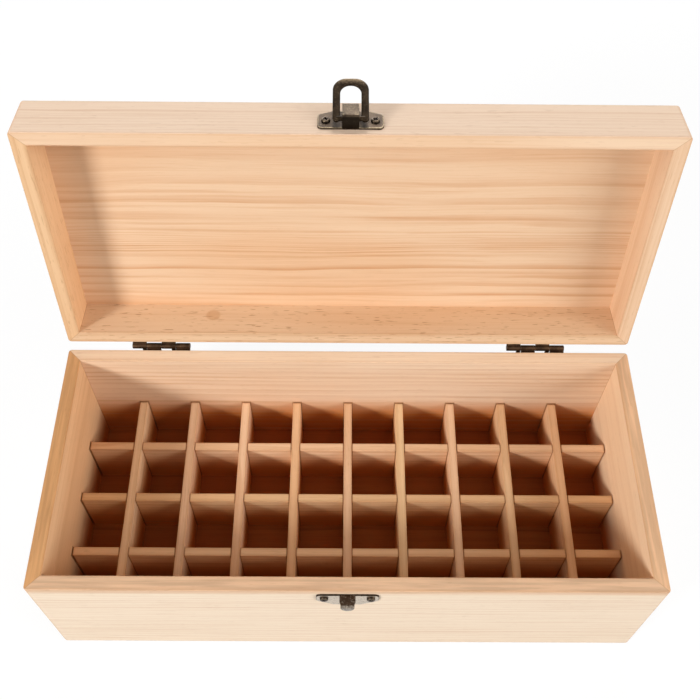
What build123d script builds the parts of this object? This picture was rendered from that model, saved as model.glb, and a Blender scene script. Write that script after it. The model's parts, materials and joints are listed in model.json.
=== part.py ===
from build123d import *
import os

# A pine box for essential oil bottles: a mitred base with an egg-crate grid of dividers,
# a mitred lid on two stop hinges, and a hasp on the lid that closes over a hook on the base.
# Lengths are in millimetres and angles in degrees. X runs to the right, Y to the back and Z up.
# The origin is the middle of the underside. The lid is drawn shut, then swung open to its stop.

# Box, outside sizes and board thicknesses
box_width = 340.0
box_depth = 150.0
base_height = 91.0
lid_height = 29.5
wall = 8.0
panel = 5.0
rabbet = 4.0
panel_fit = 0.2
corner_round = 2.0
lid_top_round = 2.0
foot_round = 0.8
rim_ease = 0.5
rim_gap = 0.3
lid_open_angle = 100.0

# Divider grid
column_count = 10
row_count = 4
divider = 5.0
divider_height = 37.5
divider_end_gap = 0.6
divider_ease = 0.4
slot_gap = 0.25

# Hinges
hinge_length = 35.0
hinge_inset = 56.0
hinge_offset = 3.0
hinge_leaf = 0.9
hinge_leaf_height = 11.0
hinge_leaf_corner = 1.5
knuckle_radius = 1.8
knuckle_gap = 0.2
knuckle_count = 4
leaf_gap = 0.4
pin_radius = 0.9
pin_gap = 0.05
stop_heel_width = 2.6
stop_heel_reach = 1.6
stop_gap = 0.1
hinge_screw_spacing = 21.0

# Hasp plate on the lid and hook plate on the base
plate = 1.0
plate_width = 33.4
plate_rim_distance = 4.2
plate_corner = 2.6
hasp_plate_end = 12.0
hasp_plate_middle = 15.0
hasp_plate_shoulder = 19.0
hook_plate_end = 8.0
hook_plate_middle = 14.0
hook_plate_shoulder = 15.0
plate_screw_spacing = 24.9
hasp_screw_rise = 6.2
hook_screw_drop = 4.2

# Strap that holds the loop, and the hook that the loop closes over
strap = 1.0
strap_width = 8.5
strap_height = 8.0
strap_length = 11.9
strap_inner_bend = 0.4
hook_width = 8.5
hook_tip_width = 7.4
hook_reach = 7.0
hook_drop = 6.5
hook_bend = 2.4
hook_lip_round = 3.4
lip_round_share = 0.48
hook_taper_share = 0.72

# Loop
loop_width = 18.2
loop_bar = 3.8
loop_thickness = 1.6
loop_length = 26.0
loop_corner = 7.0
gap_corner_share = 0.48
loop_edge_round = 0.5
journal_radius = 1.3
journal_gap = 0.2
journal_play = 0.7
loop_swing = 160.0

# Wood screws
screw_radius = 1.1
screw_length = 7.2
screw_tip_length = 2.0
screw_tip_radius = 0.15
screw_head_radius = 2.3
screw_head = 1.3
screw_head_round = 0.8
recess_length = 2.6
recess_width = 0.6
recess_depth = 0.7
pilot_gap = 0.05
plate_hole_gap = 0.2

# How far a cutting tool runs past the piece that it cuts
overrun = 1.0

# Worked-out places
inner_width = box_width - 2 * wall
inner_depth = box_depth - 2 * wall
rabbet_width = inner_width + 2 * rabbet
rabbet_depth = inner_depth + 2 * rabbet
back_face = box_depth / 2
front_face = -box_depth / 2
lid_rim = base_height + rim_gap
lid_top = lid_rim + lid_height
hinge_y = back_face + hinge_offset
hinge_z = base_height + rim_gap / 2
hinge_axis = Axis((0, hinge_y, hinge_z), (1, 0, 0))
knuckle_length = (hinge_length - (knuckle_count - 1) * knuckle_gap) / knuckle_count
leaf_start = knuckle_radius + leaf_gap
leaf_screw_drop = (leaf_start + hinge_leaf_height) / 2
hinge_reach = box_width / 2 - hinge_inset
hinge_centres = {"left": -hinge_reach, "right": hinge_reach}
hinge_screw_xs = [c + s * hinge_screw_spacing / 2 for c in hinge_centres.values() for s in (-1, 1)]
base_leaf_screw_z = hinge_z - leaf_screw_drop
lid_leaf_screw_z = hinge_z + leaf_screw_drop
hasp_foot = lid_rim + plate_rim_distance
hook_head = base_height - plate_rim_distance
plate_screw_xs = [-plate_screw_spacing / 2, plate_screw_spacing / 2]
hasp_screw_z = hasp_foot + hasp_screw_rise
hook_screw_z = hook_head - hook_screw_drop
journal_z = hasp_foot + strap + journal_gap + journal_radius
journal_y = front_face - (strap_height - strap - journal_play - journal_gap - journal_radius)
loop_axis = Axis((0, journal_y, journal_z), (1, 0, 0))


def open_lid(shape):
    """Swing a piece of the shut lid up and back to the hinge stop."""
    return shape.rotate(hinge_axis, -lid_open_angle)


upward = (Align.CENTER, Align.CENTER, Align.MIN)
downward = (Align.CENTER, Align.CENTER, Align.MAX)


def slab(width, depth, height, z):
    """An upright block centred on the box, standing on height z."""
    return Pos(0, 0, z) * Box(width, depth, height, align=upward)


# Walls and panels


def mitred_walls(frame, low, high):
    """Cut a four-sided frame along its 45 degree corners into its front, back, left and right walls."""
    x_out = box_width / 2 + overrun
    y_out = box_depth / 2 + overrun
    x_in = inner_width / 2 - overrun
    y_in = inner_depth / 2 - overrun
    outlines = {
        "front": [(-x_out, -y_out), (x_out, -y_out), (x_in, -y_in), (-x_in, -y_in)],
        "back": [(x_out, y_out), (-x_out, y_out), (-x_in, y_in), (x_in, y_in)],
        "left": [(-x_out, y_out), (-x_out, -y_out), (-x_in, -y_in), (-x_in, y_in)],
        "right": [(x_out, -y_out), (x_out, y_out), (x_in, y_in), (x_in, -y_in)],
    }
    walls = {}
    for side, outline in outlines.items():
        wedge = extrude(Polygon(*outline, align=None), high - low + 2 * overrun)
        walls[side] = frame & (Pos(0, 0, low - overrun) * wedge)
    return walls


def base_frame():
    """The base's four walls as one ring: rounded outside, rabbeted below for the bottom panel."""
    frame = extrude(RectangleRounded(box_width, box_depth, corner_round), base_height)
    frame = fillet(frame.edges().group_by(Axis.Z)[0], foot_round)
    frame -= slab(inner_width, inner_depth, base_height + 2 * overrun, -overrun)
    frame = fillet(frame.edges().group_by(Axis.Z)[-1], rim_ease)
    return frame - slab(rabbet_width, rabbet_depth, panel + overrun, -overrun)


def lid_frame():
    """The lid's four walls as one ring: rounded over on top, rabbeted there for the top panel."""
    frame = extrude(RectangleRounded(box_width, box_depth, corner_round), lid_height)
    frame = Pos(0, 0, lid_rim) * frame
    frame = fillet(frame.edges().group_by(Axis.Z)[-1], min(lid_top_round, wall - rabbet))
    frame -= slab(inner_width, inner_depth, lid_height + 2 * overrun, lid_rim - overrun)
    frame = fillet(frame.edges().group_by(Axis.Z)[0], rim_ease)
    return frame - slab(rabbet_width, rabbet_depth, panel + overrun, lid_top - panel)


def flush_panel(z):
    """The board that fills a rabbet: the base's bottom or the lid's top."""
    return slab(rabbet_width - 2 * panel_fit, rabbet_depth - 2 * panel_fit, panel, z)


# Divider grid


def divider_places(count, span):
    """Centres of the dividers that split a span into equal cells."""
    cell = (span - (count - 1) * divider) / count
    pitch = cell + divider
    return [-span / 2 + pitch * (i + 1) - divider / 2 for i in range(count - 1)]


def divider_board(length):
    """A plain divider along X, centred, standing on zero, with its top edges eased."""
    board = slab(length, divider, divider_height, 0)
    return fillet(board.edges().filter_by(Axis.X).group_by(Axis.Z)[-1], divider_ease)


def row_divider(y):
    """A board that runs left to right, slotted from above where the column dividers cross it."""
    board = divider_board(inner_width - 2 * divider_end_gap)
    slot = slab(divider + 2 * slot_gap, divider + 2 * overrun, divider_height, divider_height / 2)
    for x in divider_places(column_count, inner_width):
        board -= Pos(x, 0, 0) * slot
    return Pos(0, y, panel) * board


def column_divider(x):
    """A board that runs front to back, slotted from below so that it drops over the row dividers."""
    board = divider_board(inner_depth - 2 * divider_end_gap)
    slot_height = divider_height / 2 + slot_gap
    slot = slab(divider + 2 * slot_gap, divider + 2 * overrun, slot_height + overrun, -overrun)
    for y in divider_places(row_count, inner_depth):
        board -= Pos(y, 0, 0) * slot
    return Pos(x, 0, panel) * Rot(0, 0, 90) * board


# Screws


def wood_screw():
    """A cross-head screw along Z: its head sits on zero and its shank points down."""
    straight = screw_length - screw_tip_length
    head = Cylinder(screw_head_radius, screw_head, align=upward)
    head = fillet(head.edges().group_by(Axis.Z)[-1], screw_head_round)
    bar = Box(recess_length, recess_width, recess_depth, align=downward)
    head -= Pos(0, 0, screw_head) * (bar + Rot(0, 0, 90) * bar)
    shank = Cylinder(screw_radius, straight, align=downward)
    tip = Cone(screw_tip_radius, screw_radius, screw_tip_length, align=downward)
    return head + shank + Pos(0, 0, -straight) * tip


def screw_hole(radius, depth):
    """A drill along Z that starts above zero and goes down to its depth."""
    return Pos(0, 0, overrun) * Cylinder(radius, depth + overrun, align=downward)


def facing_front(x, z, out):
    """A place on the front, at a height, that far out from the wood and looking outwards."""
    return Pos(x, front_face - out, z) * Rot(90, 0, 0)


def facing_back(x, z, out):
    """A place on the back, at a height, that far out from the wood and looking outwards."""
    return Pos(x, back_face + out, z) * Rot(-90, 0, 0)


def drilled(piece, places):
    """A wall with a pilot hole for each screw."""
    pilot = screw_hole(screw_radius + pilot_gap, screw_length)
    for place in places:
        piece -= place * pilot
    return piece


def screws(places):
    """One screw at each place, as separate solids."""
    return Compound(children=[place * wood_screw() for place in places])


def hinge_screw_places(z, out):
    """Both screws of both hinges along one leaf's row, at a height and that far out."""
    return [facing_back(x, z, out) for x in hinge_screw_xs]


def plate_screw_places(z, out):
    """Both screws of a latch plate, at a height and that far out."""
    return [facing_front(x, z, out) for x in plate_screw_xs]


# Hinges


def hinge_section(points, length):
    """A strip whose section is drawn in Y and Z from the hinge axis, that long in X from zero."""
    return extrude(Plane.YZ * Polygon(*points, align=None), length)


def knuckle_starts(first):
    """Where each knuckle of one leaf begins along X, counted from the hinge's left end."""
    return [i * (knuckle_length + knuckle_gap) for i in range(first, knuckle_count, 2)]


def hinge_leaf_blank(first):
    """The lower leaf of a hinge laid open flat, about its own axis and from its left end:
    a drilled plate, and rolled knuckles that step outwards to the pin."""
    wood = -hinge_offset
    outline = Rectangle(hinge_length, hinge_leaf_height - leaf_start)
    outline = Pos(hinge_length / 2, -leaf_screw_drop) * outline
    outline = fillet(outline.vertices().group_by(Axis.Y)[0], hinge_leaf_corner)
    leaf = Pos(0, wood, 0) * extrude(Plane.XZ * outline, -hinge_leaf)
    neck = [
        (wood, -leaf_start),
        (wood + hinge_leaf, -leaf_start),
        (hinge_leaf - knuckle_radius, 0),
        (-knuckle_radius, 0),
    ]
    for start in knuckle_starts(first):
        roll = Rot(0, 90, 0) * Cylinder(knuckle_radius, knuckle_length, align=upward)
        leaf += Pos(start, 0, 0) * (roll + hinge_section(neck, knuckle_length))
    hole = Rot(-90, 0, 0) * screw_hole(screw_radius + plate_hole_gap, hinge_leaf + overrun)
    for side in (-1, 1):
        x = hinge_length / 2 + side * hinge_screw_spacing / 2
        leaf -= Pos(x, wood + hinge_leaf, -leaf_screw_drop) * hole
    return leaf


def pin_bored(leaf):
    """A leaf with the pin's hole through its knuckles."""
    bore = Cylinder(pin_radius + pin_gap, hinge_length + 2 * overrun, align=upward)
    return leaf - Pos(-overrun, 0, 0) * Rot(0, 90, 0) * bore


def base_leaf(centre):
    """The leaf on the base, with the second and fourth knuckles."""
    return Pos(centre - hinge_length / 2, hinge_y, hinge_z) * pin_bored(hinge_leaf_blank(1))


def stop_heel():
    """The tongue on a lid knuckle that meets the base leaf when the lid is open, at that open place."""
    near = hinge_leaf + stop_gap - hinge_offset
    far = hinge_leaf - knuckle_radius
    low = -(leaf_start + stop_heel_reach)
    return hinge_section([(near, low), (far, low), (far, 0), (near, 0)], stop_heel_width)


def lid_leaf(centre):
    """The leaf on the lid, with the first and third knuckles and their stop heels, opened with the lid."""
    leaf = hinge_leaf_blank(0).mirror(Plane.XY).rotate(Axis.X, -lid_open_angle)
    for start in knuckle_starts(0):
        leaf += Pos(start + knuckle_length - stop_heel_width, 0, 0) * stop_heel()
    return Pos(centre - hinge_length / 2, hinge_y, hinge_z) * pin_bored(leaf)


def hinge_pin(centre):
    """The plain pin through all the knuckles, flush with their ends."""
    return Pos(centre, hinge_y, hinge_z) * Rot(0, 90, 0) * Cylinder(pin_radius, hinge_length)


# Hasp and hook


def latch_plate(edge, end, middle, shoulder, up):
    """A screw plate on the front: straight along the rim side and tapered to its ends on the other."""
    half, step = plate_width / 2, shoulder / 2
    outline = Polygon(
        (-half, edge),
        (half, edge),
        (half, edge + up * end),
        (step, edge + up * middle),
        (-step, edge + up * middle),
        (-half, edge + up * end),
        align=None,
    )
    outline = fillet(outline.vertices(), plate_corner)
    return Pos(0, front_face, 0) * extrude(Plane.XZ * outline, plate, dir=(0, -1, 0))


def plate_holes(piece, places):
    """A latch plate with its screw holes."""
    hole = screw_hole(screw_radius + plate_hole_gap, plate + overrun)
    for place in places:
        piece -= place * hole
    return piece


def front_strip(section, width):
    """A bent strip on the front, centred in X, from its section in Y (out is negative) and Z."""
    return Pos(-width / 2, front_face, 0) * extrude(Plane.YZ * section, width)


def hasp_plate():
    """The lid's plate, with the strap bent out of its lower edge, over the loop's journal and back."""
    outside = Pos(-strap_height / 2, hasp_foot + strap_length / 2) * Rectangle(strap_height, strap_length)
    outside = fillet(outside.vertices().group_by(Axis.X)[0], strap_inner_bend + strap)
    hollow_out = strap_height - strap
    hollow = Pos(-(hollow_out + plate) / 2, hasp_foot + strap_length / 2) * Rectangle(
        hollow_out - plate, strap_length - 2 * strap
    )
    hollow = fillet(hollow.vertices().group_by(Axis.X)[0], strap_inner_bend)
    body = latch_plate(hasp_foot, hasp_plate_end, hasp_plate_middle, hasp_plate_shoulder, 1)
    body += front_strip(outside, strap_width)
    body -= front_strip(hollow, strap_width + 2 * overrun)
    return plate_holes(body, plate_screw_places(hasp_screw_z, plate))


def hook_taper():
    """What the hook keeps, seen from above: full width from the plate, drawn in before its lip."""
    root, tip = hook_width / 2, hook_tip_width / 2
    end = hook_reach - hook_bend / 2
    start = hook_taper_share * end
    side = [(root, overrun), (root, -start), (tip, -end), (tip, -hook_reach - overrun)]
    outline = Polygon(*side, *[(-x, y) for x, y in reversed(side)], align=None)
    kept = extrude(outline, hook_drop + 2 * overrun, dir=(0, 0, 1))
    return Pos(0, front_face, hook_head - hook_drop - overrun) * kept


def hook_plate():
    """The base's plate, with a hook bent out of its upper edge and down to a rounded lip."""
    outside = Pos(-hook_reach / 2, hook_head - hook_drop / 2) * Rectangle(hook_reach, hook_drop)
    corner = outside.vertices().group_by(Axis.X)[0].sort_by(Axis.Y)[-1]
    outside = fillet(corner, hook_bend)
    hollow_reach = hook_reach - strap
    hollow = Pos(-hollow_reach / 2, hook_head - strap - hook_drop / 2) * Rectangle(hollow_reach, hook_drop)
    corner = hollow.vertices().group_by(Axis.X)[0].sort_by(Axis.Y)[-1]
    hollow = fillet(corner, hook_bend - strap)
    hook = front_strip(outside, hook_width) - front_strip(hollow, hook_width + 2 * overrun)
    hook = hook & hook_taper()
    lip_corners = hook.edges().filter_by(Axis.Y).group_by(Axis.Z)[0]
    hook = fillet(lip_corners, min(hook_lip_round, lip_round_share * hook_tip_width))
    body = latch_plate(hook_head, hook_plate_end, hook_plate_middle, hook_plate_shoulder, -1) + hook
    return plate_holes(body, plate_screw_places(hook_screw_z, plate))


def hasp_loop():
    """The loop as it hangs shut: a flat bow with a round journal across its upper end."""
    top = journal_z + loop_bar / 2
    bow = Pos(0, top - loop_length / 2) * Rectangle(loop_width, loop_length)
    bow = fillet(bow.vertices().group_by(Axis.Y)[0], loop_corner)
    bow = fillet(bow.vertices().group_by(Axis.Y)[-1], loop_bar / 2)
    gap_length = loop_length - loop_bar
    gap_width = loop_width - 2 * loop_bar
    gap_corner = min(loop_corner - loop_bar / 2, gap_corner_share * gap_width)
    gap = Pos(0, top - gap_length / 2) * Rectangle(gap_width, gap_length)
    gap = fillet(gap.vertices().group_by(Axis.Y)[0], gap_corner)
    flat = Pos(0, journal_y + loop_thickness / 2, 0) * extrude(Plane.XZ * (bow - gap), loop_thickness)
    long_edges = flat.edges().group_by(Axis.Y)[0] + flat.edges().group_by(Axis.Y)[-1]
    flat = fillet(long_edges, loop_edge_round)
    journal = Rot(0, 90, 0) * Cylinder(journal_radius, loop_width - loop_bar)
    return flat + Pos(0, journal_y, journal_z) * journal


# Assembly

nodes = {}

base_walls = mitred_walls(base_frame(), 0, base_height)
base_walls["back"] = drilled(base_walls["back"], hinge_screw_places(base_leaf_screw_z, hinge_leaf))
base_walls["front"] = drilled(base_walls["front"], plate_screw_places(hook_screw_z, plate))
for side, piece in base_walls.items():
    nodes[f"base_{side}_wall"] = piece
nodes["base_bottom_panel"] = flush_panel(0)

lid_walls = mitred_walls(lid_frame(), lid_rim, lid_top)
lid_walls["back"] = drilled(lid_walls["back"], hinge_screw_places(lid_leaf_screw_z, hinge_leaf))
lid_walls["front"] = drilled(lid_walls["front"], plate_screw_places(hasp_screw_z, plate))
for side, piece in lid_walls.items():
    nodes[f"lid_{side}_wall"] = open_lid(piece)
nodes["lid_top_panel"] = open_lid(flush_panel(lid_top - panel))

for i, y in enumerate(divider_places(row_count, inner_depth), 1):
    nodes[f"row_divider_{i}"] = row_divider(y)
for i, x in enumerate(divider_places(column_count, inner_width), 1):
    nodes[f"column_divider_{i}"] = column_divider(x)

for side, centre in hinge_centres.items():
    nodes[f"{side}_hinge_base_leaf"] = base_leaf(centre)
    nodes[f"{side}_hinge_lid_leaf"] = lid_leaf(centre)
    nodes[f"{side}_hinge_pin"] = hinge_pin(centre)
nodes["base_hinge_screws"] = screws(hinge_screw_places(base_leaf_screw_z, hinge_leaf))
nodes["lid_hinge_screws"] = open_lid(screws(hinge_screw_places(lid_leaf_screw_z, hinge_leaf)))

nodes["hasp_plate"] = open_lid(hasp_plate())
nodes["hasp_loop"] = open_lid(hasp_loop().rotate(loop_axis, -loop_swing))
nodes["hasp_screws"] = open_lid(screws(plate_screw_places(hasp_screw_z, plate)))
nodes["hook_plate"] = hook_plate()
nodes["hook_screws"] = screws(plate_screw_places(hook_screw_z, plate))

os.makedirs("parts", exist_ok=True)
for name, shape in nodes.items():
    export_step(shape, f"parts/{name}.step")
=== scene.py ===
import json
import math

import bpy
import numpy as np
from mathutils import Euler, Matrix, Vector


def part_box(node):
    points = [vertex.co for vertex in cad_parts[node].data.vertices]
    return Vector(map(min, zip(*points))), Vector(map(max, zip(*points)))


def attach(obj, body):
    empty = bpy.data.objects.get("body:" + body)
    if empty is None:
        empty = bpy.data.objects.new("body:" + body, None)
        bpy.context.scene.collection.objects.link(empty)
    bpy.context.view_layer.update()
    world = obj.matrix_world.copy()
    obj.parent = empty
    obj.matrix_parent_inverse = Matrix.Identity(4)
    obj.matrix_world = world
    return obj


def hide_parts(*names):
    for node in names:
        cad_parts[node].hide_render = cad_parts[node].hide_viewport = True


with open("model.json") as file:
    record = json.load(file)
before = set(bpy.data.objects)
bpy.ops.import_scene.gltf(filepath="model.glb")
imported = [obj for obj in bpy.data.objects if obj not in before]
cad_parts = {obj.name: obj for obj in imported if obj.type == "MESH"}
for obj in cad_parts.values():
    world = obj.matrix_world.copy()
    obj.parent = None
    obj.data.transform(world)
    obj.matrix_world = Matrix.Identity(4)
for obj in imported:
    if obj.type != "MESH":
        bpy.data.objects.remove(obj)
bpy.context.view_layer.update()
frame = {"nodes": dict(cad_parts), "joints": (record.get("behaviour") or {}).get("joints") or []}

# Base walls: four 8 mm boards of bare sanded pine, mitred and glued at the corners, with the grain along
# each board, so its rings carry on round every edge. The outside is painted paler, as painted light for the
# brightly lit faces; the top edge is painted a darker, streaky tone, partly as painted shade on the upward
# faces; and the foot inside the box, down in the cells, is painted a deep brown as painted shade.
METRE = 1000.0
along_x = Euler((0, 0, 0))
along_y = Euler((0, 0, -math.pi / 2))
hinge = next(j for j in frame["joints"] if j["name"] == "lid_hinge")
hinge_at = Vector(hinge["pos_m"]) * METRE
lid_shut = Euler((math.radians(hinge["range_deg"][1]), 0, 0))
as_it_lies = Euler((0, 0, 0))


def laid_box(node, turn):
    """The low and high corner of a piece in millimetres, after a turn about the hinge."""
    mesh = frame["nodes"][node].data
    places = np.empty(len(mesh.vertices) * 3, np.float32)
    mesh.vertices.foreach_get("co", places)
    arms = places.reshape(-1, 3) * METRE - np.array(hinge_at)
    turned = arms @ np.array(turn.to_matrix()).T + np.array(hinge_at)
    return turned.min(0), turned.max(0)


def tint(red, green, blue):
    """A colour as seen on a screen, 0 to 255 a channel, turned into linear values: below a small step they
    are the seen ones divided by 12.92, and above it they follow a power of 2.4."""
    seen = np.array((red, green, blue)) / 255
    linear = np.where(seen <= 0.04045, seen / 12.92, ((seen + 0.055) / 1.055) ** 2.4)
    return (*linear.tolist(), 1.0)


def dimmed(colour, shares):
    """A colour with the light in each of its channels scaled by a share."""
    return (*(channel * share for channel, share in zip(colour, shares)), 1.0)


def add(tree, kind, *sockets, out=0, **settings):
    """A shader node with its settings and its (input, value or output) pairs. It gives back one output."""
    made = tree.nodes.new("ShaderNode" + kind)
    for key, value in settings.items():
        setattr(made, key, value)
    for key, value in sockets:
        if isinstance(value, bpy.types.NodeSocket):
            tree.links.new(value, made.inputs[key])
        else:
            made.inputs[key].default_value = value
    return made.outputs[out] if made.outputs else None


def maths(tree, operation, *values):
    """One step of arithmetic between numbers or outputs."""
    return add(tree, "Math", *enumerate(values), operation=operation)


def vectors(tree, operation, *values, out=0):
    """One step of vector arithmetic between vectors or outputs."""
    return add(tree, "VectorMath", *enumerate(values), operation=operation, out=out)


def between(tree, amount, first, second):
    """A colour that goes from the first to the second as the amount goes from 0 to 1."""
    return add(tree, "Mix", (0, amount), (6, first), (7, second), data_type="RGBA", out=2)


def smooth(tree, value, low, high, first=0.0, last=1.0):
    """A smooth step from first to last while the value goes from low to high."""
    pairs = ((0, value), (1, low), (2, high), (3, first), (4, last))
    return add(tree, "MapRange", *pairs, interpolation_type="SMOOTHSTEP")


def stretched_noise(tree, place, along, across, detail=2.0, out=0):
    """Noise drawn out along the grain: its grains are that long and that wide, in millimetres."""
    scaled = vectors(tree, "MULTIPLY", place, (1 / along, 1 / across, 1 / across))
    return add(tree, "TexNoise", ("Vector", scaled), ("Scale", 1.0), ("Detail", detail), out=out)


def inside_depths(tree, place, low, high):
    """How deep a place lies under the nearer of each pair of faces of a box, as three numbers."""
    past_low = vectors(tree, "SUBTRACT", place, low)
    before_high = vectors(tree, "SUBTRACT", high, place)
    depth = vectors(tree, "MINIMUM", past_low, before_high)
    return add(tree, "SeparateXYZ", (0, depth)).node.outputs


def edge_depth(tree, place, low, high):
    """The middle one of the three depths in a box, which is small only along the box's edges."""
    a, b, c = inside_depths(tree, place, low, high)
    upper = maths(tree, "MINIMUM", maths(tree, "MAXIMUM", a, b), c)
    return maths(tree, "MAXIMUM", maths(tree, "MINIMUM", a, b), upper)


def skin_depth(tree, place, low, high):
    """The least of the three depths in a box: how far a place is from its surface."""
    a, b, c = inside_depths(tree, place, low, high)
    return maths(tree, "MINIMUM", maths(tree, "MINIMUM", a, b), c)


box_low, _ = laid_box("base_front_wall", as_it_lies)
_, box_high = laid_box("base_back_wall", as_it_lies)
_, lid_high = laid_box("lid_front_wall", lid_shut)
box_low[0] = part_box("base_left_wall")[0].x * METRE
box_high[0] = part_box("base_right_wall")[1].x * METRE
box_high[2] = lid_high[2]
mitre_start = float(box_high[0] - box_high[1])


def from_mitre(tree, laid):
    """How far a place is from the mitres at the box's corners."""
    x, y, _ = add(tree, "SeparateXYZ", (0, vectors(tree, "ABSOLUTE", laid))).node.outputs
    past_start = maths(tree, "SUBTRACT", maths(tree, "SUBTRACT", x, y), mitre_start)
    return maths(tree, "ABSOLUTE", past_start)


first_column, second_column = (laid_box(f"column_divider_{number}", as_it_lies) for number in (1, 2))
first_row, second_row = (laid_box(f"row_divider_{number}", as_it_lies) for number in (1, 2))
column_step = float(second_column[0][0] - first_column[0][0])
row_step = float(second_row[0][1] - first_row[0][1])
divider_half = float(first_column[1][0] - first_column[0][0]) / 2
divider_top = float(first_row[1][2])
columns_each_side = 4
rows_each_side = 1


def from_dividers(axis, step, last):
    """How far a place on a wall is from the ends of the dividers that meet it: the largest of the distance
    beside the nearest divider, the distance past the last divider and the distance above the dividers."""

    def away(tree, laid):
        """The largest of the three distances."""
        places = add(tree, "SeparateXYZ", (0, laid)).node.outputs
        beside = maths(tree, "SUBTRACT", maths(tree, "PINGPONG", places[axis], step / 2), divider_half)
        past = maths(tree, "SUBTRACT", maths(tree, "ABSOLUTE", places[axis]), last + divider_half)
        above = maths(tree, "SUBTRACT", places[2], divider_top)
        return maths(tree, "MAXIMUM", maths(tree, "MAXIMUM", beside, past), above)

    return away


bend_grain = (150, 40)
fade_grain = (90, 14)
fibre_grain = (45, 0.8)
streak_grain = (170, 3.0)
blush_grain = (220, 60)
fleck_grain = (7, 0.8)
soil_grain = (45, 2.6)
low_noise = (0.3, 0.6)
even_noise = (0.35, 0.65)
high_noise = (0.45, 0.8)
rare_noise = (0.63, 0.71)
pace_rings = 5
ripening = (0.4, 0.94)
year_end = (0.95, 1.0)
dullest_year = 0.35
faintest_share = 0.6
fibre_strength = 0.18
streak_share = 0.5
resin_shares = (0.6, 0.5, 0.4)
clean_shares = (1.09, 1.09, 1.09)
soiled_shares = (0.86, 0.86, 0.86)
rim_shade_band = (0.8, 0.3)
bare_band = (5.5, 3.0)
bare_share = 0.2
skin_band = (0.15, 0.5)
contact_band = (0.3, 0.8)
contact_shade_strength = 0.85
knot_band = (0.75, 1.15)
knot_strength = 0.45
edge_band = (0.3, 1.8)
edge_wear = 0.3
seam_band = (0.1, 0.4)
sanded_roughness = 0.6
late_shine = -0.08
fibre_shine = 0.14
worn_shine = -0.3
wood_specular = 0.1
late_height = 0.6
fibre_height = 0.8
fleck_height = -0.6
grain_bump = 0.35
grain_relief = 0.0001


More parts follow.
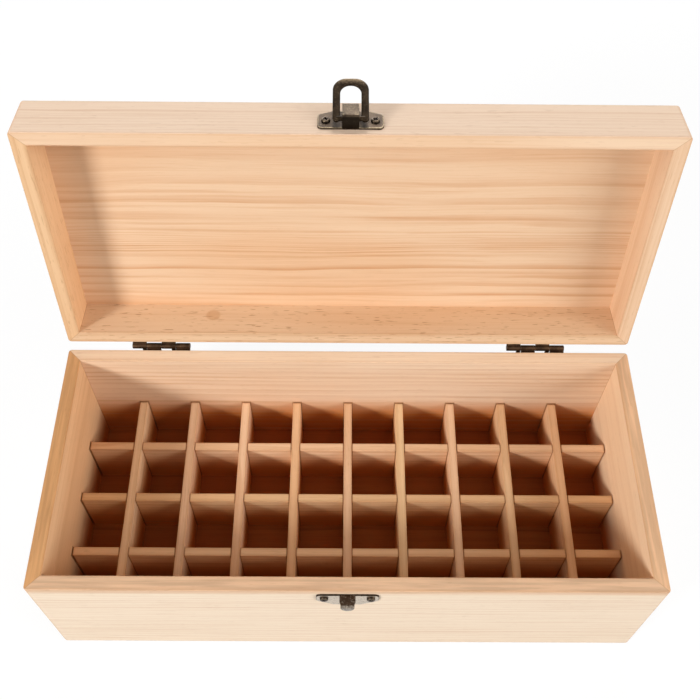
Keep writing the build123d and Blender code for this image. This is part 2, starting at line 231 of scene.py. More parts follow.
def pine(
    node, lie, pith, ring, tones, turn=as_it_lies, skin=None, wave=2.5, drift=1.5, contrast=0.5,
    flecks=0.12, lean=(), faint=None, knots=(), rim=None, foot=None, contact=None, joint=from_mitre,
    seam=0.35,
):
    """Pine cut from a log. The distance from the pith, bent by slow noise, is counted in rings. In each
    ring the colour goes slowly from pale early wood to dark late wood and falls back at once. Lean years
    crowd more rings between two distances, and years are faint inside a distance. Fibres, resin flecks, a
    slow blush and knots lie over the rings. The box's outer skin is painted paler, as painted light for the
    brightly lit outside, but only a little in a band under the rim. The rim itself is painted a streaky,
    darker tone, partly as painted shade on the upward faces, and the foot is painted deep brown as painted
    shade down in the cells. Where dividers meet a wall, painted shade darkens the wall. A dark seam marks
    each joint: a glue line at the mitres, and at the dividers' slots and ends partly painted shade in the
    gaps."""
    pale, warm, late = tones
    material = bpy.data.materials.new(node)
    material.use_nodes = True
    tree = material.node_tree
    tree.nodes.clear()
    place = add(tree, "TexCoord", out=3)
    shift = hinge_at - turn.to_matrix() @ hinge_at
    laid = add(tree, "Mapping", (0, place), (1, shift), (2, turn), (3, (METRE,) * 3))
    log = add(tree, "Mapping", (0, laid), (1, -(lie.to_matrix() @ Vector(pith))), (2, lie), (3, (1, 1, 1)))

    bend = vectors(tree, "SUBTRACT", stretched_noise(tree, log, *bend_grain, out=1), (0.5, 0.5, 0.5))
    bent = vectors(tree, "MULTIPLY_ADD", bend, (0, wave * 2, wave * 2), log)
    radius = vectors(tree, "LENGTH", vectors(tree, "MULTIPLY", bent, (0, 1, 1)), out=1)
    years = maths(tree, "DIVIDE", radius, ring)
    pace = maths(tree, "DIVIDE", radius, ring * pace_rings)
    pace = add(tree, "TexNoise", ("W", pace), ("Scale", 1.0), ("Detail", 1.0), noise_dimensions="1D")
    years = maths(tree, "MULTIPLY_ADD", pace, drift * 2, years)
    for near, far, extra in lean:
        years = maths(tree, "ADD", years, smooth(tree, radius, near, far, 0.0, extra))
    growth = maths(tree, "FRACT", years)
    season = add(tree, "TexWhiteNoise", ("W", maths(tree, "FLOOR", years)), noise_dimensions="1D")
    season = maths(tree, "MULTIPLY_ADD", season, 1 - dullest_year, dullest_year)
    ripe = smooth(tree, growth, *ripening)
    dark = maths(tree, "MULTIPLY", ripe, smooth(tree, growth, *year_end, 1.0, 0.0))
    dark = maths(tree, "MULTIPLY", dark, season)
    fade = stretched_noise(tree, log, *fade_grain, 1.0)
    dark = maths(tree, "MULTIPLY", dark, smooth(tree, fade, *low_noise, dullest_year, 1.0))
    if faint:
        dark = maths(tree, "MULTIPLY", dark, smooth(tree, radius, *faint, faintest_share, 1.0))

    fibre = stretched_noise(tree, bent, *fibre_grain)
    streak = stretched_noise(tree, bent, *streak_grain)
    blush = stretched_noise(tree, log, *blush_grain, 1.0)
    fleck = smooth(tree, stretched_noise(tree, bent, *fleck_grain, 1.0), *rare_noise)

    wood = between(tree, smooth(tree, blush, *even_noise), pale, warm)
    low, high = laid_box(node, turn)
    top = float(high[2])
    level = add(tree, "SeparateXYZ", (0, laid), out=2)
    # Painted shade, in part: the rim's darker tone stands for the lesser light on the upward faces; it has
    # random streaks.
    if rim:
        soil = smooth(tree, stretched_noise(tree, log, *soil_grain, 3.0), *even_noise)
        handled = between(tree, soil, dimmed(rim, clean_shares), dimmed(rim, soiled_shares))
        wood = between(tree, smooth(tree, level, top - rim_shade_band[0], top - rim_shade_band[1]), wood, handled)
    # Painted shade: the foot goes to a deep brown, darker towards the bottom, for the shade down in the
    # cells.
    if foot:
        colour, dark_below, pale_above = foot
        wood = between(tree, smooth(tree, level, dark_below, pale_above, 1.0, 0.0), wood, colour)
    resin = dimmed(late, resin_shares)
    # Painted shade: the wall is darkened where the dividers' ends meet it.
    if contact:
        contact_shadow = smooth(tree, contact(tree, laid), *contact_band, contact_shade_strength, 0.0)
        wood = between(tree, contact_shadow, wood, resin)
    # Painted light: the outer skin is painted paler for the brightly lit outside, and less so under the
    # rim.
    if skin:
        painted_skin_light = smooth(tree, skin_depth(tree, laid, box_low, box_high), *skin_band, 1.0, 0.0)
        if rim:
            bare = smooth(tree, level, top - bare_band[0], top - bare_band[1], 1.0, bare_share)
            painted_skin_light = maths(tree, "MULTIPLY", painted_skin_light, bare)
        wood = between(tree, painted_skin_light, wood, skin)
    lines = maths(tree, "MULTIPLY", dark, contrast)
    lines = maths(tree, "ADD", lines, smooth(tree, streak, *high_noise, 0.0, contrast * streak_share))
    lines = maths(tree, "ADD", lines, smooth(tree, fibre, *high_noise, 0.0, fibre_strength))
    wood = between(tree, lines, wood, late)
    wood = between(tree, maths(tree, "MULTIPLY", fleck, flecks), wood, resin)
    for centre, reach in knots:
        away = vectors(tree, "DISTANCE", laid, centre, out=1)
        inner, outer = (reach * share for share in knot_band)
        wood = between(tree, smooth(tree, away, inner, outer, knot_strength, 0.0), wood, late)
    rubbed = smooth(tree, edge_depth(tree, laid, low, high), *edge_band, edge_wear, 0.0)
    wood = between(tree, rubbed, wood, late)
    # The seam is a dark glue line at the mitres; at the dividers' slots and ends it is partly painted shade
    # in the gaps.
    wood = between(tree, smooth(tree, joint(tree, laid), *seam_band, seam, 0.0), wood, resin)

    shine = maths(tree, "MULTIPLY_ADD", dark, late_shine, sanded_roughness)
    shine = maths(tree, "MULTIPLY_ADD", fibre, fibre_shine, shine)
    shine = maths(tree, "MULTIPLY_ADD", rubbed, worn_shine, shine)
    height = maths(tree, "MULTIPLY", fibre, fibre_height)
    height = maths(tree, "MULTIPLY_ADD", dark, late_height, height)
    height = maths(tree, "MULTIPLY_ADD", fleck, fleck_height, height)
    bump = add(tree, "Bump", ("Strength", grain_bump), ("Distance", grain_relief), ("Height", height))
    shader = add(tree, "BsdfPrincipled", ("Base Color", wood), ("Roughness", shine), ("Normal", bump))
    shader.node.inputs["Specular IOR Level"].default_value = wood_specular
    add(tree, "OutputMaterial", ("Surface", shader))
    for holder in frame["nodes"][node].material_slots:
        holder.material = material


wall_tones = (tint(235, 205, 174), tint(230, 194, 159), tint(204, 151, 108))
# Painted light: the paler tone of the outer skin, for the brightly lit outside faces.
painted_light_skin = tint(247, 227, 203)
# Painted shade: the deep brown of the feet down in the cells, and the heights over which it fades out.
cell_shade_brown = tint(212, 132, 63)
cell_foot_shade = (cell_shade_brown, 14.0, 39.0)
side_foot_shade = (cell_shade_brown, 9.0, 33.0)
back_foot_shade = (cell_shade_brown, 24.0, 52.0)
foot_shades = {"base_left_wall": side_foot_shade, "base_right_wall": side_foot_shade, "base_back_wall": back_foot_shade}
base_logs = {
    "base_front_wall": (along_x, (0, -62, -260), 3.1, 0.32),
    "base_back_wall": (along_x, (0, 130, -60), 5.0, 0.65),
    "base_left_wall": (along_y, (-195, 0, 45), 7.0, 0.3),
    "base_right_wall": (along_y, (205, 0, 30), 8.0, 0.22),
}
golden_tones = (tint(230, 191, 149), tint(224, 180, 136), tint(196, 142, 94))
paler_tones = (tint(241, 214, 185), tint(237, 205, 173), tint(210, 160, 116))
tawny_tones = (tint(243, 213, 179), tint(239, 204, 167), tint(212, 161, 115))
base_tones = {"base_left_wall": golden_tones, "base_front_wall": wall_tones, "base_right_wall": tawny_tones}
# Painted shade, in part: each rim's darker tone stands for the lesser light on the upward faces.
rim_shade_tones = {
    "base_left_wall": tint(214, 161, 110), "base_right_wall": tint(226, 182, 143),
    "base_front_wall": tint(222, 183, 148),
}
# Painted shade: where the dividers' ends meet a wall, the wall is darkened.
column_ends = from_dividers(0, column_step, columns_each_side * column_step)
row_ends = from_dividers(1, row_step, rows_each_side * row_step)
contact_shades = {"base_front_wall": column_ends, "base_back_wall": column_ends, "base_left_wall": row_ends}
for node, (lie, pith, ring, contrast) in base_logs.items():
    tones = base_tones.get(node, paler_tones)
    pine(
        node, lie, pith, ring, tones, skin=painted_light_skin, contrast=contrast, rim=rim_shade_tones.get(node),
        foot=foot_shades.get(node, cell_foot_shade), contact=contact_shades.get(node),
    )

# Bottom panel: a 5 mm pine board that drops into a rabbet around the base's underside. Its deep red-brown
# tone is painted shade for the bottom of the cells; it is seen only there and from below.
# Painted shade: the panel's deep red-brown tones stand for the shade at the bottom of the cells.
bottom_shade_tones = (tint(180, 100, 46), tint(168, 86, 38), tint(136, 65, 28))
bottom_pith = (0, 30, 70)
bottom_ring = 4.0
pine("base_bottom_panel", along_x, bottom_pith, bottom_ring, bottom_shade_tones, seam=0.0)

# Divider grid: 5 mm pine boards, three from left to right and nine from front to back, slotted halfway
# through each other where they cross. Thin stock is cut from many planks, so each board has its own tone.
divider_pale = np.array((236, 199, 161))
divider_warm = np.array((228, 184, 141))
divider_late = np.array((196, 137, 88))
board_tints = {
    "row": ((1.0, 0.98, 0.95), (0.97, 0.955, 0.91), (0.99, 0.98, 0.98)),
    "column": (
        (1.0, 0.99, 0.97), (0.97, 0.95, 0.95), (0.99, 0.98, 0.99), (0.98, 0.95, 0.92), (0.97, 0.95, 0.95),
        (0.98, 0.98, 0.94), (0.99, 0.97, 0.97), (0.98, 0.97, 0.94), (0.99, 0.97, 0.95),
    ),
}
slot_clearance = 0.25
line_spread = 0.6
divider_ring = 4.2
divider_contrast = 0.45
# The dark lines at the dividers' slots and ends: partly dark joints, partly painted shade in the gaps.
slot_seam_and_shade = 0.75


def from_slot(node):
    """How far a place on a row board is past its slots and its ends: the lesser of the distance to the
    nearest column board, less half the slot's width, and of the distance to the board's own end."""
    low, high = laid_box(node, as_it_lies)

    def away(tree, laid):
        """The lesser of the two distances, scaled down so that the dark line spreads wider."""
        near = maths(tree, "PINGPONG", add(tree, "SeparateXYZ", (0, laid)), column_step / 2)
        past_slot = maths(tree, "SUBTRACT", near, divider_half + slot_clearance)
        past_end = inside_depths(tree, laid, low, high)[0]
        return maths(tree, "MULTIPLY", maths(tree, "MINIMUM", past_slot, past_end), line_spread)

    return away


def from_ends(node):
    """How far a place on a column board is from the board's front and back end."""
    low, high = laid_box(node, as_it_lies)
    return lambda tree, laid: maths(tree, "MULTIPLY", inside_depths(tree, laid, low, high)[1], line_spread)


def to_pith(number):
    """The way from the middle of a board to its pith. It goes through three places from left to right, four
    from front to back and five in depth, so that the boards of a group differ in their grain."""
    return Vector((11 * (number % 3) - 14, 13 * (number % 4) - 20, -55 - 9 * (number % 5)))


for group, lie in (("row", along_x), ("column", along_y)):
    for number, board_tint in enumerate(board_tints[group], 1):
        node = f"{group}_divider_{number}"
        middle = (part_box(node)[0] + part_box(node)[1]) * METRE / 2
        pith = middle + to_pith(number)
        tones = [tint(*(colour * board_tint)) for colour in (divider_pale, divider_warm, divider_late)]
        joint = from_slot(node) if group == "row" else from_ends(node)
        pine(
            node, lie, pith, divider_ring, tones, contrast=divider_contrast, foot=cell_foot_shade, joint=joint,
            seam=slot_seam_and_shade,
        )

# Lid walls: the same mitred pine boards as the base, low, and turned up with the lid. Their wood is worked
# out as if the lid were shut. The back board is flat-sawn, with a small knot and many resin flecks.
# Painted light: the lid's paler outer skin, for its brightly lit outside faces.
lid_painted_light_skin = tint(240, 213, 188)
lid_logs = {
    "lid_front_wall": (along_x, (0, -58, -120), 3.4, 0.32, 0.12, ()),
    "lid_back_wall": (along_x, (0, 160, 90), 6.0, 0.4, 0.5, [((-83, 67, 107), 4.5)]),
    "lid_left_wall": (along_y, (-240, 0, 90), 5.0, 0.4, 0.3, ()),
    "lid_right_wall": (along_y, (250, 0, 80), 6.0, 0.4, 0.12, ()),
}
honey_tones = (tint(225, 192, 157), tint(220, 181, 143), tint(194, 143, 98))
lid_tones = {"lid_left_wall": golden_tones, "lid_back_wall": honey_tones}
for node, (lie, pith, ring, contrast, flecks, knots) in lid_logs.items():
    tones = lid_tones.get(node, wall_tones)
    pine(
        node, lie, pith, ring, tones, turn=lid_shut, skin=lid_painted_light_skin, contrast=contrast, flecks=flecks,
        knots=knots,
    )

# Lid panel: one wide 5 mm pine board set flush in the lid's rabbet. It is flat-sawn near the front edge,
# where the rings run nearly level with it and show as broad waves, and cut across the rings lower down.
panel_tones = (tint(231, 198, 164), tint(228, 188, 150), tint(202, 145, 98))
panel_pith = (0, -85, 150)
panel_ring = 12.5
lean_years = ((97, 118, 9.0), (118, 152, 2.0))
faint_years = (88.0, 122.0)
pine(
    "lid_top_panel", along_x, panel_pith, panel_ring, panel_tones, turn=lid_shut, skin=lid_painted_light_skin,
    contrast=0.7, wave=4.0, drift=0.5, lean=lean_years, faint=faint_years, flecks=0.05, seam=0.0,
)

# Hinges: two on the back, folded from 0.9 mm steel strip with an antique bronze plating. Each leaf is
# screwed to the wood, its knuckles are rolled round the pin, and a heel on each lid knuckle stops the lid.
box_back = float(box_high[1])
pin_boxes = {side: laid_box(f"{side}_hinge_pin", as_it_lies) for side in ("left", "right")}
hinge_middles = {side: float(low[0] + high[0]) / 2 for side, (low, high) in pin_boxes.items()}
hinge_length = float(pin_boxes["left"][1][0] - pin_boxes["left"][0][0])
hinge_offset = hinge_at.y - box_back
leaf_thick = 0.9
leaf_start = 2.2
leaf_end = 11.0
leaf_corners = (1.5, 1.5, 0.3, 0.3)
leaf_ease = 0.3
knuckle_radius = 1.8
knuckle_length = 8.6
knuckle_step = 8.8
roll_turn = math.radians(300)
roll_steps = 40
neck_lap = 1.0
neck_lead = 0.3
heel_width = 2.6
heel_low = -3.8
heel_sides = (-2.0, -0.9)
pin_radius = 0.9
pin_ease = 0.25
open_turn = -math.degrees(lid_shut.x)
sharp_angle = math.radians(40)
face_inset_eases = 2.5
plate_back_wear = 0.2
plate_edge_least = 0.6
knuckle_wear = 0.6
mottle_per_metre = 1100.0
patches_per_metre = 160.0
mottle_wear = 0.7
worn_band = (0.25, 0.95)
speck_band = (0.5, 0.75)
speck_strength = 0.25
painted_shade_band = (-1.0, -0.1)
painted_shade_strength = 0.9
painted_shade_shares = (0.3, 0.3, 0.3)
mottle_shine = 0.25
mottle_gloss = -0.12
worn_gloss = -0.1
plating_bump = 0.25
plating_relief = 0.00003


def swung(places, pivot, degrees):
    """Places turned by an angle about the line along X through a pivot."""
    turn = np.array(Euler((math.radians(degrees), 0, 0)).to_matrix())
    return (places - np.array(pivot)) @ turn.T + np.array(pivot)


def as_drawn(places):
    """Places of a piece that does not move with the lid."""
    return places


def opened(places):
    """Places of the shut lid, swung open about the hinge to its stop."""
    return swung(places, hinge_at, open_turn)


def rounded_outline(corners, radii, steps=9):
    """The closed outline of a counter-clockwise polygon. Each corner is swapped for an arc that touches
    both of its sides: the arc's middle lies on the corner's bisector, the radius divided by the sine of
    half the corner away. The outline comes back with the outward normal at each of its points."""
    corners = np.array(corners, float)
    radii = np.broadcast_to(radii, len(corners)).astype(float)
    ahead = np.roll(corners, -1, 0) - corners
    ahead = ahead / np.linalg.norm(ahead, axis=1, keepdims=True)
    behind = -np.roll(ahead, 1, 0)
    half = np.arccos((ahead * behind).sum(1)) / 2
    bisector = (ahead + behind) / np.linalg.norm(ahead + behind, axis=1, keepdims=True)
    middles = corners + bisector * (radii / np.sin(half))[:, None]
    first = np.arctan2(behind[:, 0], -behind[:, 1])
    angles = first[:, None] + (np.pi - 2 * half)[:, None] * np.linspace(0, 1, steps)
    normals = np.stack((np.cos(angles), np.sin(angles)), -1)
    outline = middles[:, None] + radii[:, None, None] * normals
    return outline.reshape(-1, 2), normals.reshape(-1, 2)


def stamped_plate(corners, radii, thick, ease):
    """A flat plate as rings of (across, along, height). The outline goes up from the back face, is drawn in
    along a quarter round at its front edge, and once more over the front face. The eased edge is rubbed."""
    outline, normals = rounded_outline(corners, radii)
    quarter = np.linspace(0, np.pi / 2, 6)
    drawn_in = np.concatenate(((0,), ease * (1 - np.cos(quarter)), (ease * face_inset_eases,)))
    height = np.concatenate(((0,), thick - ease + ease * np.sin(quarter), (thick,)))
    eased_wear = plate_edge_least + (1 - plate_edge_least) * np.sin(quarter)
    rubbed = np.concatenate(((plate_back_wear,), eased_wear, (0,)))
    flat = outline - normals * drawn_in[:, None, None]
    lifted = np.broadcast_to(height[:, None, None], flat.shape[:2] + (1,))
    return np.concatenate((flat, lifted), -1), np.broadcast_to(rubbed[:, None], flat.shape[:2])


def bent_path(corners, radius, count):
    """An open path with its corners bent to one radius: each corner is swapped for an arc that touches both
    of its legs, and the whole is spaced out evenly by its length."""
    corners = np.array(corners, float)
    legs = np.diff(corners, axis=0)
    legs = legs / np.linalg.norm(legs, axis=1, keepdims=True)
    bend = np.arccos((legs[:-1] * legs[1:]).sum(1))
    side = np.sign(legs[:-1, 0] * legs[1:, 1] - legs[:-1, 1] * legs[1:, 0])
    inward = np.stack((-legs[:-1, 1], legs[:-1, 0]), -1) * side[:, None]
    begin = corners[1:-1] - legs[:-1] * (radius * np.tan(bend / 2))[:, None]
    swing = bend[:, None] * np.linspace(0, 1, 12)
    onward = legs[:-1, None] * np.sin(swing)[..., None] + inward[:, None] * (1 - np.cos(swing))[..., None]
    arcs = (begin[:, None] + radius * onward).reshape(-1, 2)
    path = np.concatenate((corners[:1], arcs, corners[-1:]))
    lengths = np.concatenate(((0,), np.cumsum(np.linalg.norm(np.diff(path, axis=0), axis=1))))
    spaced = np.linspace(0, lengths[-1], count)
    return np.stack([np.interp(spaced, lengths, path[:, k]) for k in (0, 1)], -1)


def bar_section(half_widths, thick, ease, steps=5):
    """The section of a flat bar at each place along it: four quarter rounds, pushed apart to the bar's
    width and thickness. It comes back as across and through, with how rubbed each point is."""
    angles = (np.arange(4)[:, None] * np.pi / 2 + np.linspace(0, np.pi / 2, steps)).ravel()
    sides = np.repeat(((1, 1), (-1, 1), (-1, -1), (1, -1)), steps, 0)
    half = np.asarray(half_widths, float)[:, None]
    round_off = np.minimum(ease, half * 0.95)
    across = sides[:, 0] * (half - round_off) + round_off * np.cos(angles)
    through = sides[:, 1] * (thick / 2 - round_off) + round_off * np.sin(angles)
    return across, through, np.broadcast_to(np.sin(2 * angles) ** 2, across.shape)


def bent_strip(path, half_widths, thick, ease):
    """A strip of sheet bent along a path, as rings of (across, first, second): the section is carried along
    the path, with its thickness along the path's normal."""
    along = np.gradient(path, axis=0)
    along = along / np.linalg.norm(along, axis=1, keepdims=True)
    normal = np.stack((-along[:, 1], along[:, 0]), -1)
    across, through, rubbed = bar_section(np.broadcast_to(half_widths, len(path)), thick, ease)
    laid = path[:, None] + normal[:, None] * through[..., None]
    return np.concatenate((across[..., None], laid), -1), rubbed


def turned_rod(ends, radius, ease, steps=28):
    """A round rod as rings of (along, first, second), with a quarter round at each end."""
    quarter = np.linspace(0, np.pi / 2, 5)
    short_of_end = ease * (1 - np.sin(quarter))
    drawn_in = ease * (1 - np.cos(quarter))
    along = np.concatenate((ends[0] + short_of_end[::-1], ends[1] - short_of_end))[:, None]
    reach = np.concatenate((radius - drawn_in[::-1], radius - drawn_in))[:, None]
    angles = np.linspace(0, 2 * np.pi, steps, endpoint=False)
    rings = np.stack(np.broadcast_arrays(along, reach * np.cos(angles), reach * np.sin(angles)), -1)
    rubbed = np.concatenate((np.sin(2 * quarter), np.sin(2 * quarter)))
    return rings, np.broadcast_to(rubbed[:, None], rings.shape[:2])


def fitting(name, shells, material, body, node):
    """One piece of metal from closed shells, in the place of a node. A shell is a stack of rings in
    millimetres; neighbouring rings are joined by quads, the first and last are closed by a fan to their
    middle, and a shell whose volume comes out negative is turned the right way round."""
    places, faces, worn, count = [], [], [], 0
    for rings, rubbed in shells:
        rows, around = rings.shape[:2]
        flat = np.concatenate((rings.reshape(-1, 3), rings[[0, -1]].mean(1)))
        wear = np.concatenate((rubbed.ravel(), rubbed[[0, -1]].mean(1)))
        ids = np.arange(rows * around).reshape(rows, around)
        beside = np.roll(ids, -1, 1)
        quads = np.stack((ids[:-1], beside[:-1], beside[1:], ids[1:]), -1).reshape(-1, 4)
        low = np.stack((np.full(around, ids.size), beside[0], ids[0]), -1)
        high = np.stack((np.full(around, ids.size + 1), ids[-1], beside[-1]), -1)
        corners = flat[np.concatenate((quads[:, :3], quads[:, [0, 2, 3]], low, high))]
        if np.einsum("ij,ij->", corners[:, 0], np.cross(corners[:, 1], corners[:, 2])) < 0:
            quads, low, high = quads[:, ::-1], low[:, ::-1], high[:, ::-1]
        faces += [(part + count).tolist() for part in (quads, low, high)]
        places.append(flat)
        worn.append(wear)
        count += len(flat)
    mesh = bpy.data.meshes.new(name)
    mesh.from_pydata((np.concatenate(places) / METRE).tolist(), [], sum(faces, []))
    # The rubbed attribute carries wear; below zero it carries painted shade, and on the hook's lip a
    # painted reflection.
    wear_and_shade_layer = mesh.attributes.new("rubbed", "FLOAT", "POINT")
    wear_and_shade_layer.data.foreach_set("value", np.concatenate(worn).astype(np.float32))
    mesh.polygons.foreach_set("use_smooth", np.ones(len(mesh.polygons), bool))
    mesh.set_sharp_from_angle(angle=sharp_angle)
    mesh.materials.append(material)
    piece = bpy.data.objects.new(name, mesh)
    bpy.context.scene.collection.objects.link(piece)
    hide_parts(node)
    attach(piece, body)
    return piece


def antique_bronze(name, dark, brown, bright, rough):
    """Antique bronze plating: a dark patina that turns brown in patches and finely mottled, rubbed through
    to bright bronze along the worn edges, where it is also smoother. Where the rubbing is below zero, the
    colour is painted near black, as painted shade."""
    material = bpy.data.materials.new(name)
    material.use_nodes = True
    tree = material.node_tree
    tree.nodes.clear()
    place = add(tree, "TexCoord", out=3)
    mottle = add(tree, "TexNoise", ("Vector", place), ("Scale", mottle_per_metre), ("Detail", 4.0))
    patches = add(tree, "TexNoise", ("Vector", place), ("Scale", patches_per_metre), ("Detail", 2.0))
    rubbed = add(tree, "Attribute", out="Fac", attribute_name="rubbed")
    worn = maths(tree, "MULTIPLY_ADD", maths(tree, "SUBTRACT", mottle, 0.5), mottle_wear, rubbed)
    worn = smooth(tree, worn, *worn_band)
    colour = between(tree, smooth(tree, patches, *even_noise), dark, brown)
    colour = between(tree, smooth(tree, mottle, *speck_band, 0.0, speck_strength), colour, bright)
    colour = between(tree, worn, colour, bright)
    # Painted shade: below zero, the rubbing paints the colour near black.
    painted_shade = smooth(tree, rubbed, *painted_shade_band, painted_shade_strength, 0.0)
    colour = between(tree, painted_shade, colour, dimmed(dark, painted_shade_shares))
    shine = maths(tree, "MULTIPLY_ADD", mottle, mottle_shine, rough + mottle_gloss)
    shine = maths(tree, "MULTIPLY_ADD", worn, worn_gloss, shine)
    bump = add(tree, "Bump", ("Strength", plating_bump), ("Distance", plating_relief), ("Height", mottle))
    pairs = (("Base Color", colour), ("Roughness", shine), ("Normal", bump), ("Metallic", 1.0))
    shader = add(tree, "BsdfPrincipled", *pairs)
    add(tree, "OutputMaterial", ("Surface", shader))
    return material


hinge_bronze = antique_bronze(
    "hinge_bronze", dark=tint(52, 38, 28), brown=tint(74, 55, 40), bright=tint(118, 95, 70), rough=0.42,
)


def hinge_leaf(left_end, first_knuckle):
    """A leaf laid open flat, below its pin: a stamped plate, and two rolled knuckles. A knuckle's strip
    leaves the plate, leans out to the pin and goes round it for most of a turn."""
    right_end = left_end + hinge_length
    below = hinge_at.z
    corners = ((left_end, below - leaf_end), (right_end, below - leaf_end))
    corners += ((right_end, below - leaf_start), (left_end, below - leaf_start))
    rings, rubbed = stamped_plate(corners, leaf_corners, leaf_thick, leaf_ease)
    shells = [(np.stack((rings[..., 0], box_back + rings[..., 2], rings[..., 1]), -1), rubbed)]
    roll = knuckle_radius - leaf_thick / 2
    in_plate = leaf_thick / 2 - hinge_offset
    angles = np.pi - np.linspace(0, roll_turn, roll_steps)
    around_pin = np.stack((roll * np.cos(angles), roll * np.sin(angles)), -1)
    neck = ((in_plate, -leaf_start - neck_lap), (in_plate, -leaf_start), (-roll, -neck_lead))
    path = np.concatenate((neck, around_pin))
    for number in (first_knuckle, first_knuckle + 2):
        rings, rubbed = bent_strip(path, knuckle_length / 2, leaf_thick, leaf_ease)
        middle = (left_end + number * knuckle_step + knuckle_length / 2, hinge_at.y, hinge_at.z)
        shells.append((rings + np.array(middle), rubbed * knuckle_wear))
    return shells


def mirrored(shells):
    """A leaf turned upside down through the pin's height, as the lid's leaf is."""
    flip = np.array((1, 1, -1))
    return [((rings - np.array(hinge_at)) * flip + np.array(hinge_at), rubbed) for rings, rubbed in shells]


def stop_heel(right_end):
    """The tongue beside a lid knuckle that meets the base's leaf when the lid is open."""
    middle = (right_end - heel_width / 2, hinge_at.y, hinge_at.z)
    heel_middle = sum(heel_sides) / 2
    path = np.linspace((heel_middle, heel_low), (heel_middle, 0), 6)
    rings, rubbed = bent_strip(path, heel_width / 2, heel_sides[1] - heel_sides[0], leaf_ease)
    return rings + np.array(middle), rubbed


for side, middle in hinge_middles.items():
    left_end = middle - hinge_length / 2
    node = f"{side}_hinge_base_leaf"
    fitting(f"{node}_rolled", hinge_leaf(left_end, 1), hinge_bronze, "base", node)
    lid_shells = [(opened(rings), rubbed) for rings, rubbed in mirrored(hinge_leaf(left_end, 0))]
    lid_shells += [stop_heel(left_end + number * knuckle_step + knuckle_length) for number in (0, 2)]
    node = f"{side}_hinge_lid_leaf"
    fitting(f"{node}_rolled", lid_shells, hinge_bronze, "lid", node)
    rings, rubbed = turned_rod((left_end, left_end + hinge_length), pin_radius, pin_ease)
    rings = rings + np.array((0, hinge_at.y, hinge_at.z))
    node = f"{side}_hinge_pin"
    fitting(f"{node}_turned", [(rings, rubbed)], hinge_bronze, "base", node)

# Hasp plate: a 1 mm stamped plate screwed to the lid's front. A strap is bent out of its lower edge, over
# the loop's journal and back to the plate. The strap's outer face is a little rubbed, and its lower leg
# is painted near black as painted shade.
box_front = float(box_low[1])
hasp_low, hasp_high = laid_box("hasp_plate", lid_shut)
hasp_foot = float(hasp_low[2])
hasp_head = float(hasp_high[2])
plate_half_width = float(hasp_high[0])
hasp_shoulder = 107.5
hasp_head_half = 9.5
plate_thick = 1.0
plate_ease = 0.35
plate_corner = 2.6
hasp_corners = (
    (-plate_half_width, hasp_foot), (plate_half_width, hasp_foot), (plate_half_width, hasp_shoulder),
    (hasp_head_half, hasp_head), (-hasp_head_half, hasp_head), (-plate_half_width, hasp_shoulder),
)
plate_edge_wear = 0.8
strap_half_width = 4.25
strap_out = 7.5
strap_rise = (0.5, 11.4)
strap_bend = 0.9
strap_ease = 0.2
strap_steps = 90
strap_edge_wear = 0.5
strap_wear = 0.38
strap_painted_shade = 0.8
face_fade = 0.4


def on_front(rings):
    """Rings of (across, along, out) set on the box's front face."""
    return np.stack((rings[..., 0], box_front - rings[..., 2], rings[..., 1]), -1)


def strap():
    """The strap: straight out from the middle of the plate, up, and back to it. Its outer face is rubbed,
    and the underside of its lower leg is painted near black as painted shade."""
    low, high = (hasp_foot + rise for rise in strap_rise)
    inside = plate_thick / 2
    corners = ((inside, low), (strap_out, low), (strap_out, high), (inside, high))
    path = bent_path(corners, strap_bend, strap_steps)
    rings, rubbed = bent_strip(path, strap_half_width, plate_thick, strap_ease)
    outside = np.clip((rings[..., 1] - strap_out) / face_fade, 0, 1)
    # Painted shade: the underside of the lower leg.
    under = np.clip((low - rings[..., 2]) / face_fade, 0, 1) * (1 - outside)
    rubbed = np.maximum(rubbed * strap_edge_wear, outside * strap_wear) * (1 - under)
    return on_front(rings[..., [0, 2, 1]]), rubbed - under * strap_painted_shade


hasp_bronze = antique_bronze(
    "hasp_bronze", dark=tint(52, 42, 34), brown=tint(68, 56, 45), bright=tint(128, 114, 92), rough=0.4,
)
rings, rubbed = stamped_plate(hasp_corners, plate_corner, plate_thick, plate_ease)
shells = [(opened(on_front(rings)), rubbed * plate_edge_wear)]
rings, rubbed = strap()
shells.append((opened(rings), rubbed))
fitting("hasp_plate_stamped", shells, hasp_bronze, "lid", "hasp_plate")

# Loop: a flat cast bow with rounded edges, whose round journal turns in the strap. It hangs over the hook
# when the box is shut and is flipped back here. The far bend is rubbed by fingers.
pivot = next(j for j in frame["joints"] if j["name"] == "loop_pivot")
journal_at = Vector(swung(np.array(pivot["pos_m"]) * METRE, hinge_at, -open_turn))
loop_swing = -pivot["range_deg"][1]
loop_top = 99.9
loop_half_width = 9.1
loop_foot = 73.9
loop_corner = 7.0
gap_half_width = 5.3
gap_foot = 77.7
gap_corner = 5.09
loop_thick = 1.6
loop_ease = 0.5
leg_round = 1.9
leg_first_angle = 0.08
bow_edge_wear = 0.35
bend_wear = 0.75
journal_wear = 0.3
journal_radius = 1.3
journal_reach = 7.2


def bow_side(half_width, foot, corner):
    """One edge of the bow: down the left leg, round a corner, across, round the other one and up the right
    leg. The leg's first points crowd towards its round end."""
    ends = leg_round * (1 - np.cos(np.linspace(leg_first_angle, np.pi / 2, 10)))
    straight = np.linspace(loop_top - leg_round, foot + corner, 8)[1:-1]
    leg = np.concatenate((loop_top - ends, straight))
    angles = np.linspace(np.pi, 1.5 * np.pi, 24)
    turned_x = corner - half_width + corner * np.cos(angles)
    left_x = np.concatenate((np.full(len(leg), -half_width), turned_x))
    left_z = np.concatenate((leg, foot + corner + corner * np.sin(angles)))
    both_x = np.concatenate((left_x, -left_x[::-1]))
    return np.stack((both_x, np.concatenate((left_z, left_z[::-1]))), -1)


